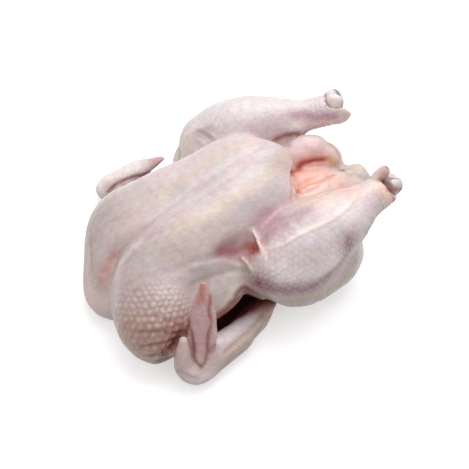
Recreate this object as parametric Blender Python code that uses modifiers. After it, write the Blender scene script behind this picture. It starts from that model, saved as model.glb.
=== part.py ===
"""A whole raw chicken, lying on its back with its wings beside it and its legs raised.

Metres, +Z up. The bird is laid out with +X to its tail, +Y to its left side and z = 0 on the
surface it lies on, and its origin is then moved to the bottom centre of its box. The forms below
are in millimetres.
"""
import math

import bmesh
import bpy
from mathutils import Matrix, Vector

MM = 0.001

# driving sizes
BONE_GAP = 0.4              # room round each bone, so the two solids stay apart
TRUNK_VOXEL = 2.6
SKIN_VOXEL = 2.0
TRUNK_SMOOTHING = 22
SKIN_SMOOTHING = 9
SMOOTHING_LOSS = 0.9        # how far the smoothing pulls the skin in, given back evenly
CARCASS_TRIANGLES = 8000
BONE_TRIANGLES = 600
FLOOR_WIDTH = 600.0
FLOOR_DEPTH = 60.0

# each round form: centre, radii, yaw, and pitch (positive lowers the tail end), in degrees
TRUNK_ROUNDS = {
    "ribs": ((-38, -3, 37.5), (74, 50, 39), 0, 0),
    "breast_right": ((-49, -29, 50), (70, 34, 38), 10, -11),
    "breast_left": ((-43, 20, 48), (68, 27.5, 36.5), -6, -13),
    "breast_rear_right": ((-4, -15, 62), (38, 28, 33), 12, -5),
    "breast_rear_left": ((0, 16, 64), (37, 29, 35), -10, -2),
    "shoulder_right": ((-96, -62.5, 26), (29.5, 35, 32.5), 0, 0),
    "shoulder_left": ((-80, 33, 26), (30, 29, 27), 0, 0),
    "front_left": ((-89, 14, 32), (33, 31, 30), 0, 0),
    "neck_skin": ((-106, -10, 20), (27, 34, 27), 0, 0),
    "neck_fold": ((-113, -17, 13), (22, 23, 15), 0, 0),
    "rump": ((36, 0, 30), (50, 46, 32), 0, 0),
    "belly": ((56, -8, 41), (33, 27, 24), 0, 0),
}
LEG_ROUNDS = {
    "flank": ((60, 23, 55), (30, 16, 19), -10, 0),
}
# the web of skin that closes the folded wing below, between the upper arm and the forearm
WING_ROUNDS = {
    "web_right": ((-38, -66, 2), (38, 24, 6), 25, 0),
    "web_left": ((-36, 66, 5), (42, 23, 6), -20, 0),
}

# each limb: stations of x, y, z and radius along its middle line, then how flat it is across
# the direction that follows
ROUND = (1.0, (0, 0, 1))
TRUNK_LIMBS = {
    "keel": (((-40, 0, 76, 8), (-10, 2, 84, 8), (18, 4, 87, 9), (26, 4, 83, 10)), *ROUND),
    "side_right": (((-62, -65, 30, 15.5), (-44, -63.5, 37, 14.5), (-29, -60, 43, 12),
                    (-8, -65, 43, 14)), *ROUND),
    "side_left": (((-62, 58, 30, 15), (-42, 53, 40, 14), (-26, 51, 44, 14), (-8, 60, 44, 16)), *ROUND),
}
LEG_LIMBS = {
    "tail": (((60, 2, 32, 20), (82, 3, 42, 13.5), (94.5, 2.5, 49, 9)), 0.75, (0, 0, 1)),
    "vent": (((70, -12, 36, 14), (92, -7, 43, 9), (99, -4, 44.5, 6)), *ROUND),
    "thigh_right": (((44, -48, 29, 31), (20, -57, 29, 30), (0, -66, 41, 22)), *ROUND),
    "thigh_left": (((46, 40, 28, 29), (16, 57, 30, 29), (-12, 69, 38, 23)), *ROUND),
    "drum_right": (((-9, -68, 53, 20.5), (15, -63, 56.5, 28.5), (48, -55, 62, 24), (73, -49, 68, 14.5),
                    (92, -44, 71.5, 12.5)), *ROUND),
    "drum_left": (((-6, 70, 61, 21.5), (18, 63, 69, 27), (44, 54.5, 76.5, 20.5), (66, 48, 81.5, 12.5),
                   (86, 42, 86, 12.5), (93, 39.5, 86, 11.5)), *ROUND),
}
# the slanting cut that bares the hock, on each leg
CUT_ROUNDS = {
    "hock_cut_right": ((130.1, -49.8, 102.7), (45, 45, 45), 0, 0),
    "hock_cut_left": ((124.2, 55.8, 116.8), (45, 45, 45), 0, 0),
}
# the dark hollow between the wing and the breast, the tuck below the shoulder by the wrist, and the
# dip on each side where the drumstick pulls the skin taut
PIT_LIMBS = {
    "pit_right": (((-63, -77, 8, 14), (-45, -68, 10, 18), (-27, -61, 13, 20), (-10, -63, 9, 12)), *ROUND),
    "pit_left": (((-63, 74, 8, 13), (-45, 62, 11, 16.5), (-27, 56, 13, 18), (-9, 60, 9, 10)), *ROUND),
    "tuck_right": (((-106, -98, 2, 5), (-101, -96, 9, 8), (-93, -92, 11, 12), (-82, -90, 13, 13)), *ROUND),
    "dip_right": (((-50, -62.5, 67, 4), (-38, -61.5, 69, 7.5), (-27, -62, 73, 9.5),
                   (-16, -61.5, 77.5, 6)), *ROUND),
    "dip_left": (((-46, 53.5, 67, 4), (-34, 54, 71, 7), (-23, 55, 75, 8), (-13, 56, 80, 5)), *ROUND),
}
# the wings, the thick edge of skin over the hollow behind each wing, and the stub of the tendon that
# stands up from the cut hock
WING_LIMBS = {
    "tendon_right": (((86, -41, 77, 5.2), (90, -40, 82, 5.2), (94.5, -39.5, 86, 4.6)), *ROUND),
    "upper_arm_right": (((-88, -48, 17, 16), (-40, -30, 9, 10), (-2, -50, 12, 11)), *ROUND),
    "upper_arm_left": (((-80, 44, 17, 16), (-40, 34, 9, 10), (4, 54, 12, 11)), *ROUND),
    "forearm_right": (((-8, -63, 8, 7), (-20, -73.5, 8.5, 9), (-34, -83.5, 9.5, 10), (-48, -92.5, 11, 11.5),
                       (-81, -105, 12.5, 13.5)), *ROUND),
    "forearm_left": (((4, 60, 12, 12), (-14, 69, 12.5, 13), (-48, 84, 12, 12), (-80, 97, 11, 11)), *ROUND),
    "lip_right": (((-60, -79, 26, 2.4), (-54, -78.5, 28, 2.8), (-48, -77.5, 30, 2.8), (-42, -76.5, 33, 2.8),
                   (-37, -75, 36, 2.8), (-32.5, -72.5, 38, 2.8), (-28, -72.5, 37.5, 2.8), (-23, -73.5, 34, 2.8),
                   (-17, -75, 29.5, 2.4)), *ROUND),
    "lip_left": (((-60, 72.5, 26, 2.4), (-54, 71, 27.5, 2.6), (-48, 69, 29, 2.6), (-42, 67, 31.5, 2.6),
                  (-36, 67, 32, 2.6), (-30, 72, 27.5, 2.4)), *ROUND),
    "hand_right": (((-81, -105, 14, 14), (-75.5, -101, 30, 12), (-72, -97, 48, 10), (-69.5, -93.5, 62, 7.5),
                    (-67.5, -89, 76, 3.5)), 0.6, (0.5, 0.85, 0)),
    "thumb_right": (((-88, -106, 16, 8), (-89.5, -105, 30, 6), (-88, -102, 40, 4)), *ROUND),
    "hand_left": (((-82, 96, 12, 12), (-70, 95, 20, 11), (-58, 93, 28, 9), (-47, 91, 33, 6.5),
                   (-39, 89, 37, 3.5)), 0.6, (0, 0, 1)),
}

# the shank bones: the shaft's stations from knee to hock, then the knuckle's centre
BONE_SHAFTS = {
    "leg_bone_right": ((14, -62, 55, 6), (48, -54.5, 62.5, 4.5), (73, -49, 68, 4.2), (91, -44.4, 71.9, 6.2)),
    "leg_bone_left": ((18, 62, 67, 6), (46, 54, 77, 4.5), (68, 47.5, 85, 4.2), (82, 44, 90.8, 6.2)),
}
KNUCKLE_REACH = 9.5         # from the shaft's last station to the middle of the two condyles
CONDYLE_RADII = (7.6, 5.6, 7.6)
CONDYLE_OFFSET = 3.6


def material(name, colour, roughness):
    made = bpy.data.materials.new(name)
    made.use_nodes = True
    surface = made.node_tree.nodes["Principled BSDF"]
    surface.inputs["Base Color"].default_value = (*colour, 1.0)
    surface.inputs["Roughness"].default_value = roughness
    return made


def new_object(name, mesh, collection):
    made = bpy.data.objects.new(name, mesh)
    collection.objects.link(made)
    return made


def ellipsoid(name, centre, radii, yaw, pitch, collection):
    """A unit sphere stretched to its radii, turned and set in place."""
    shape = bmesh.new()
    bmesh.ops.create_uvsphere(shape, u_segments=48, v_segments=24, radius=1.0)
    place = Matrix.Translation(Vector(centre) * MM)
    turn = Matrix.Rotation(math.radians(yaw), 4, "Z") @ Matrix.Rotation(math.radians(pitch), 4, "Y")
    stretch = Matrix.Diagonal((*(Vector(radii) * MM), 1.0))
    bmesh.ops.transform(shape, matrix=place @ turn @ stretch, verts=shape.verts)
    mesh = bpy.data.meshes.new(name)
    shape.to_mesh(mesh)
    shape.free()
    return new_object(name, mesh, collection)


def through(stations, steps=6):
    """Points on the smooth curve that passes through every station."""
    line = [stations[0], *stations, stations[-1]]
    points = []
    for before, start, end, after in zip(line, line[1:], line[2:], line[3:]):
        for step in range(steps):
            t = step / steps
            points.append([
                0.5 * (2 * b + (c - a) * t + (2 * a - 5 * b + 4 * c - d) * t * t
                       + (3 * b - a - 3 * c + d) * t ** 3)
                for a, b, c, d in zip(before, start, end, after)])
    points.append(list(stations[-1]))
    return points


def limb(name, stations, flatness, across, collection):
    """A bevelled curve of changing radius with a ball at each end, pressed flat across one direction."""
    normal = Vector(across).normalized()
    squash = Matrix.Scale(flatness, 4, normal)
    widen = Matrix.Scale(1.0 / flatness, 4, normal)
    points = through(stations)
    curve = bpy.data.curves.new(name, "CURVE")
    curve.dimensions = "3D"
    curve.bevel_depth = MM
    curve.bevel_resolution = 6
    curve.use_fill_caps = True
    spline = curve.splines.new("POLY")
    spline.points.add(len(points) - 1)
    for knot, (x, y, z, radius) in zip(spline.points, points):
        knot.co = (*(widen @ Vector((x, y, z)) * MM), 1.0)
        knot.radius = radius
    tube = new_object(name, curve, collection)
    bpy.context.view_layer.update()
    mesh = bpy.data.meshes.new_from_object(tube.evaluated_get(bpy.context.evaluated_depsgraph_get()))
    bpy.data.objects.remove(tube)
    shape = bmesh.new()
    shape.from_mesh(mesh)
    bmesh.ops.remove_doubles(shape, verts=shape.verts, dist=0.01 * MM)
    for x, y, z, radius in (points[0], points[-1]):
        end = Matrix.Translation(widen @ Vector((x, y, z)) * MM)
        bmesh.ops.create_uvsphere(shape, u_segments=24, v_segments=16, radius=radius * MM, matrix=end)
    bmesh.ops.transform(shape, matrix=squash, verts=shape.verts)
    bmesh.ops.recalc_face_normals(shape, faces=shape.faces)
    shape.to_mesh(mesh)
    shape.free()
    return new_object(name, mesh, collection)


def joined(name, pieces, collection):
    """One object that holds the pieces' meshes together, before they are fused."""
    shape = bmesh.new()
    for piece in pieces:
        shape.from_mesh(piece.data)
        bpy.data.objects.remove(piece)
    mesh = bpy.data.meshes.new(name)
    shape.to_mesh(mesh)
    shape.free()
    return new_object(name, mesh, collection)


def applied(piece):
    """Replaces the object's mesh by what its modifiers make of it."""
    bpy.context.view_layer.update()
    mesh = bpy.data.meshes.new_from_object(piece.evaluated_get(bpy.context.evaluated_depsgraph_get()))
    piece.modifiers.clear()
    piece.data = mesh
    return piece


def fused(piece, voxel, smoothing):
    """One closed skin round everything in the object, with its joints rounded off."""
    remesh = piece.modifiers.new("fuse", "REMESH")
    remesh.mode = "VOXEL"
    remesh.voxel_size = voxel * MM
    smooth = piece.modifiers.new("round off", "SMOOTH")
    smooth.factor = 0.5
    smooth.iterations = smoothing
    return applied(piece)


def grown(piece, distance):
    swell = piece.modifiers.new("grow", "DISPLACE")
    swell.mid_level = 0.0
    swell.strength = distance * MM
    return applied(piece)


def reduced(piece, triangles):
    split = piece.modifiers.new("split", "TRIANGULATE")
    split.quad_method = "SHORTEST_DIAGONAL"
    applied(piece)
    thin = piece.modifiers.new("thin out", "DECIMATE")
    thin.ratio = triangles / len(piece.data.polygons)
    thin.use_collapse_triangulate = True
    return applied(piece)


def carved(piece, cutters):
    for cutter in cutters:
        cut = piece.modifiers.new("cut " + cutter.name, "BOOLEAN")
        cut.operation = "DIFFERENCE"
        cut.solver = "EXACT"
        cut.object = cutter
    return applied(piece)


def cutter_look(piece):
    piece.hide_render = True
    piece.display_type = "WIRE"
    return piece


def forms(rounds, limbs, collection):
    made = [ellipsoid(name, *form, collection) for name, form in rounds.items()]
    made += [limb(name, *form, collection) for name, form in limbs.items()]
    return made


def bone(name, stations, collection):
    """The shank bone: a slim shaft with two condyles side by side at the hock."""
    shaft = limb(name + "_shaft", stations, *ROUND, collection)
    last = Vector(stations[-1][:3])
    along = (last - Vector(stations[-2][:3])).normalized()
    middle = last + along * KNUCKLE_REACH
    beside = Vector((0, 0, 1)).cross(along).normalized()
    yaw = math.degrees(math.atan2(along.y, along.x))
    pitch = -math.degrees(math.asin(along.z))
    condyles = [
        ellipsoid(name + "_condyle", middle + beside * side * CONDYLE_OFFSET, CONDYLE_RADII, yaw, pitch,
                  collection)
        for side in (-1, 1)]
    shape = fused(joined(name, [shaft, *condyles], collection), 0.7, 3)
    return reduced(shape, BONE_TRIANGLES)


def socket(of, collection):
    """The hole that a bone leaves in the flesh, a little larger all round."""
    mesh = of.data.copy()
    mesh.shade_smooth()
    return cutter_look(grown(new_object(of.name + "_socket", mesh, collection), BONE_GAP))


def floor_block(collection):
    shape = bmesh.new()
    bmesh.ops.create_cube(shape, size=1.0)
    size = Matrix.Diagonal((FLOOR_WIDTH * MM, FLOOR_WIDTH * MM, FLOOR_DEPTH * MM, 1.0))
    place = Matrix.Translation((0, 0, -FLOOR_DEPTH * MM / 2))
    bmesh.ops.transform(shape, matrix=place @ size, verts=shape.verts)
    mesh = bpy.data.meshes.new("floor_block")
    shape.to_mesh(mesh)
    shape.free()
    return cutter_look(new_object("floor_block", mesh, collection))


def carcass(bones, parts, cutters):
    """Trunk, legs and wings as one solid, flat where it rests and hollowed for the bones."""
    body = joined("carcass", forms(TRUNK_ROUNDS, TRUNK_LIMBS, parts), parts)
    body = fused(body, TRUNK_VOXEL, TRUNK_SMOOTHING)
    body = joined("carcass", [body, *forms(LEG_ROUNDS, LEG_LIMBS, parts)], parts)
    body = fused(body, SKIN_VOXEL, SKIN_SMOOTHING)
    hollows = fused(joined("hollows", forms(CUT_ROUNDS, PIT_LIMBS, cutters), cutters), SKIN_VOXEL, 1)
    body = carved(body, [cutter_look(hollows)])
    body = joined("carcass", [body, *forms(WING_ROUNDS, WING_LIMBS, parts)], parts)
    body = grown(fused(body, SKIN_VOXEL, SKIN_SMOOTHING // 2), SMOOTHING_LOSS)
    body = reduced(body, CARCASS_TRIANGLES)
    return carved(body, [floor_block(cutters), *(socket(each, cutters) for each in bones)])


def to_bottom_centre(pieces):
    """Moves the finished pieces so that the origin is the bottom centre of their common box."""
    corners = [vertex.co for piece in pieces for vertex in piece.data.vertices]
    low = Vector(min(corner[axis] for corner in corners) for axis in range(3))
    high = Vector(max(corner[axis] for corner in corners) for axis in range(3))
    shift = Matrix.Translation((-(low.x + high.x) / 2, -(low.y + high.y) / 2, -low.z))
    for piece in pieces:
        piece.data.transform(shift)


def build():
    for each in list(bpy.data.objects):
        bpy.data.objects.remove(each)
    parts = bpy.data.collections.new("raw_chicken")
    cutters = bpy.data.collections.new("cutters")
    for collection in (parts, cutters):
        bpy.context.scene.collection.children.link(collection)
    bones = [bone(name, stations, parts) for name, stations in BONE_SHAFTS.items()]
    body = carcass(bones, parts, cutters)
    to_bottom_centre([body, *bones])
    body.data.materials.clear()
    body.data.materials.append(material("skin", (0.72, 0.55, 0.51), 0.42))
    body.data.shade_smooth()
    cartilage = material("cartilage", (0.62, 0.60, 0.62), 0.3)
    for each in bones:
        each.data.materials.clear()
        each.data.materials.append(cartilage)
        each.data.shade_smooth()


build()
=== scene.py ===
# A whole raw chicken lying on its back on a white table, seen from its right side and above.
# The bird's own measures are in millimetres: x to its tail, y to its left side, z up from the table.

import functools
import math
import bpy
import numpy as np
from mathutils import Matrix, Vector


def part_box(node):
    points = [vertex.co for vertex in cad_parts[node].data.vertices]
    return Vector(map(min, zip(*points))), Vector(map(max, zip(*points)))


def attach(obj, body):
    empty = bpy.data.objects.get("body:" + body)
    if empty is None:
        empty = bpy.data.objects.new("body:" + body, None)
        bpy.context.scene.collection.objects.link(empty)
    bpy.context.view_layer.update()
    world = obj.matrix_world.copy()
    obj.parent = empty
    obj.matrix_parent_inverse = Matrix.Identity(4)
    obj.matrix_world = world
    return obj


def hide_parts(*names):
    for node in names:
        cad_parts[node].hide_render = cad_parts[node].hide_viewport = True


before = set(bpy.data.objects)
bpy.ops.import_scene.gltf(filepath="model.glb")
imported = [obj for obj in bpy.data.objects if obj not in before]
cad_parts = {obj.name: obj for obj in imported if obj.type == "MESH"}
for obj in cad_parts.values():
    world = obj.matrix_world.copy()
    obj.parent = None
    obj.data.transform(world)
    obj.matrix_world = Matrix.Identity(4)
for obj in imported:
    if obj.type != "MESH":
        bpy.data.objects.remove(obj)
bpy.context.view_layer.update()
print("solids loaded")


# the forms of the flesh

# a ball has a centre, radii, yaw and pitch (positive lowers the tail end), a limb has stations of
# x, y, z and radius, and blend is how widely each form runs into those before it

rightTrunk = {
    "ribs": dict(centre=(-38, -3, 37.5), radii=(74, 50, 39), blend=0),
    "breastRight": dict(centre=(-49, -29, 50), radii=(70, 34, 38), yaw=10, pitch=-11, blend=12),
    "breastRearRight": dict(centre=(-4, -15, 62), radii=(38, 28, 33), yaw=12, pitch=-5, blend=16),
    "shoulderRight": dict(centre=(-96, -62.5, 26), radii=(29.5, 35, 32.5), blend=20),
    "sideRight": dict(stations=((-62, -65, 30, 15.5), (-44, -63.5, 37, 14.5), (-29, -60, 43, 12),
        (-8, -65, 43, 14)), blend=10),
}
leftTrunk = {
    "breastLeft": dict(centre=(-43, 20, 48), radii=(68, 27.5, 36.5), yaw=-6, pitch=-13, blend=0),
    "breastRearLeft": dict(centre=(0, 16, 64), radii=(37, 29, 35), yaw=-10, pitch=-2, blend=16),
    "shoulderLeft": dict(centre=(-80, 33, 26), radii=(30, 29, 27), blend=22),
    "neckSkin": dict(centre=(-106, -10, 20), radii=(27, 34, 27), blend=13),
    "frontLeft": dict(centre=(-89, 14, 32), radii=(33, 31, 30), blend=16),
    "neckFold": dict(centre=(-113, -17, 13), radii=(22, 23, 15), blend=9),
    "sideLeft": dict(stations=((-62, 58, 30, 15), (-42, 53, 40, 14), (-26, 51, 44, 14), (-8, 60, 44, 16)),
        blend=10),
}
rearForms = {
    "keel": dict(stations=((-40, 0, 76, 8), (-10, 2, 84, 8), (18, 4, 87, 9), (26, 4, 83, 10)), blend=16),
    "rump": dict(centre=(36, 0, 30), radii=(50, 46, 32), blend=18),
    "belly": dict(centre=(56, -8, 41), radii=(33, 27, 24), blend=7),
    "flank": dict(centre=(60, 23, 55), radii=(30, 16, 19), yaw=-10, blend=3),
    "tail": dict(stations=((60, 2, 32, 20), (82, 3, 42, 13.5), (94.5, 2.5, 49, 9)), flat=0.75, blend=8),
    "vent": dict(stations=((70, -12, 36, 14), (92, -7, 43, 9), (99, -4, 44.5, 6)), blend=5),
}
legForms = {
    "thighRight": dict(stations=((44, -48, 29, 31), (20, -57, 29, 30), (0, -66, 41, 22)), blend=10),
    "thighLeft": dict(stations=((46, 40, 28, 29), (16, 57, 30, 29), (-12, 69, 38, 23)), blend=10),
    "drumRight": dict(stations=((-9, -68, 53, 20.5), (15, -63, 56.5, 28.5), (48, -55, 62, 24),
        (73, -49, 68, 14.5), (92, -44, 71.5, 12.5)), blend=8),
    "drumLeft": dict(stations=((-6, 70, 61, 21.5), (18, 63, 69, 27), (44, 54.5, 76.5, 20.5),
        (66, 48, 81.5, 12.5), (86, 42, 86, 12.5), (93, 39.5, 86, 11.5)), blend=8),
}
hollows = {
    "pitRight": dict(stations=((-63, -77, 8, 14), (-45, -68, 10, 18), (-27, -61, 13, 20),
        (-10, -63, 9, 12)), blend=1.5),
    "tuckRight": dict(stations=((-106, -98, 2, 5), (-101, -96, 9, 8), (-93, -92, 11, 12),
        (-82, -90, 13, 13)), blend=2),
    "pitLeft": dict(stations=((-63, 74, 8, 13), (-45, 62, 11, 16.5), (-27, 56, 13, 18), (-9, 60, 9, 10)),
        blend=2),
    "dipRight": dict(stations=((-50, -62.5, 67, 4), (-38, -61.5, 69, 7.5), (-27, -62, 73, 9.5),
        (-16, -61.5, 77.5, 6)), blend=5),
    "dipLeft": dict(stations=((-46, 53.5, 67, 4), (-34, 54, 71, 7), (-23, 55, 75, 8), (-13, 56, 80, 5)),
        blend=6),
    "hockCutRight": dict(centre=(130.1, -49.8, 102.7), radii=(45, 45, 45), blend=1.5),
    "hockCutLeft": dict(centre=(124.2, 55.8, 116.8), radii=(45, 45, 45), blend=1.5),
}
wingForms = {
    "tendonRight": dict(stations=((86, -41, 77, 5.2), (90, -40, 82, 5.2), (94.5, -39.5, 86, 4.6)),
        blend=1.5),
    "upperArmRight": dict(stations=((-88, -48, 17, 16), (-40, -30, 9, 10), (-2, -50, 12, 11)), blend=8),
    "upperArmLeft": dict(stations=((-80, 44, 17, 16), (-40, 34, 9, 10), (4, 54, 12, 11)), blend=8),
    "webRight": dict(centre=(-38, -66, 2), radii=(38, 24, 6), yaw=25, blend=4),
    "webLeft": dict(centre=(-36, 66, 5), radii=(42, 23, 6), yaw=-20, blend=4),
    "forearmRight": dict(stations=((-8, -63, 8, 7), (-20, -73.5, 8.5, 9), (-34, -83.5, 9.5, 10),
        (-48, -92.5, 11, 11.5), (-81, -105, 12.5, 13.5)), blend=4),
    "forearmLeft": dict(stations=((4, 60, 12, 12), (-14, 69, 12.5, 13), (-48, 84, 12, 12),
        (-80, 97, 11, 11)), blend=4),
    "strandHigh": dict(stations=((-15, -51, 74, 0.7), (-15, -56, 72.5, 0.9), (-15.5, -64, 71.5, 1.0),
        (-16, -72, 71.2, 1.0), (-15.5, -79, 67, 0.5)), blend=2.5),
    "strandLow": dict(stations=((-28, -62, 61, 0.7), (-27, -69, 62.3, 0.9), (-26, -76, 60.5, 0.5)),
        blend=2.2),
    "lipRight": dict(stations=((-60, -79, 26, 2.4), (-54, -78.5, 28, 2.8), (-48, -77.5, 30, 2.8),
        (-42, -76.5, 33, 2.8), (-37, -75, 36, 2.8), (-32.5, -72.5, 38, 2.8), (-28, -72.5, 37.5, 2.8),
        (-23, -73.5, 34, 2.8), (-17, -75, 29.5, 2.4)), blend=1.2),
    "lipLeft": dict(stations=((-60, 72.5, 26, 2.4), (-54, 71, 27.5, 2.6), (-48, 69, 29, 2.6),
        (-42, 67, 31.5, 2.6), (-36, 67, 32, 2.6), (-30, 72, 27.5, 2.4)), blend=1.2),
    "handRight": dict(stations=((-81, -105, 14, 14), (-75.5, -101, 30, 12), (-72, -97, 48, 10),
        (-69.5, -93.5, 62, 7.5), (-67.5, -89, 76, 2.6)), flat=0.6, across=(0.5, 0.85, 0), blend=5),
    "thumbRight": dict(stations=((-88, -106, 16, 8), (-89.5, -105, 30, 6), (-88, -102, 40, 3.5)),
        blend=2),
    "handLeft": dict(stations=((-82, 96, 12, 12), (-70, 95, 20, 11), (-58, 93, 28, 9), (-47, 91, 33, 6),
        (-39, 89, 37, 2.6)), flat=0.6, blend=6),
}
boneForms = {
    "hockRight": dict(stations=((14, -62, 55, 6), (48, -54.5, 62.5, 4.5), (73, -49, 68, 4.2),
        (91, -44.4, 71.9, 6.2))),
    "hockLeft": dict(stations=((18, 62, 67, 6), (46, 54, 77, 4.5), (68, 47.5, 85, 4.2),
        (82, 44, 90.8, 6.2))),
}
farAway = 99.0              # the distance given to points that are out of a form's reach
reach = 27.0


def softUnion(a, b, blend):
    # The smaller of two distances, rounded where they are within the blend of each other
    blend = np.maximum(blend, 1e-3)
    near = np.maximum(blend - np.abs(a - b), 0) / blend
    return np.minimum(a, b) - near * near * blend / 4


def smoothStep(low, high, value):
    t = np.clip((value - low) / (high - low), 0, 1)
    return t * t * (3 - 2 * t)


def unit(vector):
    return np.array(vector, float) / np.linalg.norm(vector)


def turned(yaw, pitch):
    # Axes of a form that is first pitched about y and then turned about z
    y, p = math.radians(yaw), math.radians(pitch)
    aboutZ = np.array([[math.cos(y), -math.sin(y), 0], [math.sin(y), math.cos(y), 0], [0, 0, 1]])
    aboutY = np.array([[math.cos(p), 0, math.sin(p)], [0, 1, 0], [-math.sin(p), 0, math.cos(p)]])
    return aboutZ @ aboutY


def ballDistance(points, centre, radii, yaw=0, pitch=0):
    # Distance to an ellipsoid: its scaled radius less one, divided by how fast that radius grows
    out = np.full(len(points), farAway)
    near = (np.abs(points - centre) < max(radii) + reach).all(1)
    local = (points[near] - centre) @ turned(yaw, pitch)
    scaled = np.linalg.norm(local / radii, axis=1) + 1e-6
    growth = np.linalg.norm(local / np.square(radii), axis=1) + 1e-9
    out[near] = scaled * (scaled - 1) / growth
    return out


def smoothPath(stations, count):
    # Points on the curve through the stations, each stretch a cubic set by its four neighbours
    p = np.array(stations, float)
    p = np.vstack([2 * p[0] - p[1], p, 2 * p[-1] - p[-2]])
    t = np.linspace(0, len(p) - 3, count)
    i = np.minimum(t.astype(int), len(p) - 4)
    f = (t - i)[:, None]
    a, b, c, d = p[i], p[i + 1], p[i + 2], p[i + 3]
    return 0.5 * (2 * b + (c - a) * f + (2 * a - 5 * b + 4 * c - d) * f ** 2
                  + (3 * b - a - 3 * c + d) * f ** 3)


def roundConeDistance(points, a, b, radiusA, radiusB):
    # Distance to two balls and the cone that touches both
    axis = b - a
    length2 = axis @ axis
    taper = radiusA - radiusB
    slant2 = length2 - taper * taper
    local = points - a
    y = local @ axis
    z = y - length2
    x2 = np.square(local * length2 - y[:, None] * axis).sum(1)
    y2, z2 = y * y * length2, z * z * length2
    k = np.sign(taper) * taper * taper * x2
    out = (np.sqrt(x2 * slant2 / length2) + y * taper) / length2 - radiusA
    before = np.sign(y) * slant2 * y2 < k
    out[before] = np.sqrt(x2[before] + y2[before]) / length2 - radiusA
    beyond = np.sign(z) * slant2 * z2 > k
    out[beyond] = np.sqrt(x2[beyond] + z2[beyond]) / length2 - radiusB
    return out


def limbDistance(points, stations, flat=1.0, across=(0, 0, 1)):
    # Distance to a row of round cones along the path, in a space stretched across the flat side
    path = smoothPath(stations, 4 * (len(stations) - 1) + 1)
    radius = np.maximum(path[:, 3], 1)
    across = unit(across)
    stretch = np.eye(3) + (1 / flat - 1) * np.outer(across, across)
    low = (path[:, :3] - radius[:, None]).min(0) - reach
    high = (path[:, :3] + radius[:, None]).max(0) + reach
    near = ((points > low) & (points < high)).all(1)
    local = points[near] @ stretch
    line = path[:, :3] @ stretch
    best = np.full(len(local), 1e9)
    for i in range(len(line) - 1):
        best = np.minimum(best, roundConeDistance(local, line[i], line[i + 1], radius[i], radius[i + 1]))
    out = np.full(len(points), farAway)
    out[near] = best * flat
    return out


def formDistance(points, form):
    shape = {key: value for key, value in form.items() if key != "blend"}
    return ballDistance(points, **shape) if "centre" in shape else limbDistance(points, **shape)


def grouped(points, forms, start=None):
    # The forms run together one after the other, each by its own blend
    total = start
    for form in forms.values():
        distance = formDistance(points, form)
        total = distance if total is None else softUnion(total, distance, form["blend"])
    return total


# hidden is how much slimmer the socket is along the shaft, where the skin over it would be too thin, and
# saddle and fillet are how widely the condyles run into each other and into the shaft
knuckle = dict(reach=9.5, radii=(7.6, 5.6, 7.6), offset=3.6, gap=0.4, hidden=2.0, saddle=3.2, fillet=1.5)
edges = dict(socket=0.3, table=1.5)         # how far the skin is rounded at a bone's socket and at the table
probe = 0.35                                # how far to each side of a point its slope is measured


def boneEnd(name):
    # Where the shaft ends, which way it points and the level direction across it
    before, last = np.array(boneForms[name]["stations"])[-2:, :3]
    along = unit(last - before)
    return last, along, unit(np.cross((0, 0, 1), along))


def boneDistance(points, name, thinner=0.0):
    # The shaft and, past its end, two condyles side by side
    stations = np.array(boneForms[name]["stations"]) - (0, 0, 0, thinner)
    last, along, beside = boneEnd(name)
    yaw, pitch = math.degrees(math.atan2(along[1], along[0])), -math.degrees(math.asin(along[2]))
    balls = [ballDistance(points, last + along * knuckle["reach"] + beside * side * knuckle["offset"],
                          knuckle["radii"], yaw, pitch) for side in (-1, 1)]
    return softUnion(limbDistance(points, stations), softUnion(*balls, knuckle["saddle"]),
                     knuckle["fillet"])


def fleshDistance(points):
    # Trunk, legs and wings as one skin, with its hollows cut and its underside flat on the table
    right = grouped(points, rightTrunk)
    left = grouped(points, leftTrunk)
    # the two sides of the breast meet in a soft dip over the keel and a sharp fold in front
    total = softUnion(right, left, 4 + 9 * smoothStep(-112, -60, points[:, 0]))
    total = grouped(points, rearForms, total)
    total = grouped(points, legForms, total)
    for hollow in hollows.values():
        total = -softUnion(-total, formDistance(points, hollow), hollow["blend"])
    total = grouped(points, wingForms, total)
    for name in boneForms:
        socket = boneDistance(points, name, knuckle["hidden"]) - knuckle["gap"]
        total = -softUnion(-total, socket, edges["socket"])
    return -softUnion(-total, points[:, 2], edges["table"])


# turning a distance into a mesh

def distanceGrid(distance, low, high, step, coarse=5.0, band=6.0):
    # The distance on a regular grid, worked out fully only near the surface
    low, high = np.array(low, float), np.array(high, float)
    fineCount = np.ceil((high - low) / step).astype(int) + 1
    coarseCount = np.ceil((high - low) / coarse).astype(int) + 2
    axes = [low[i] + coarse * np.arange(coarseCount[i]) for i in range(3)]
    values = distance(np.stack(np.meshgrid(*axes, indexing="ij"), -1).reshape(-1, 3)).reshape(coarseCount)
    for i in range(3):
        place = np.arange(fineCount[i]) * step / coarse
        cell = np.minimum(place.astype(int), coarseCount[i] - 2)
        t = (place - cell).reshape([-1 if j == i else 1 for j in range(3)])
        values = np.take(values, cell, i) * (1 - t) + np.take(values, cell + 1, i) * t
    near = np.argwhere(np.abs(values) < band)
    values[tuple(near.T)] = distance(low + near * step)
    return values


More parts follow.
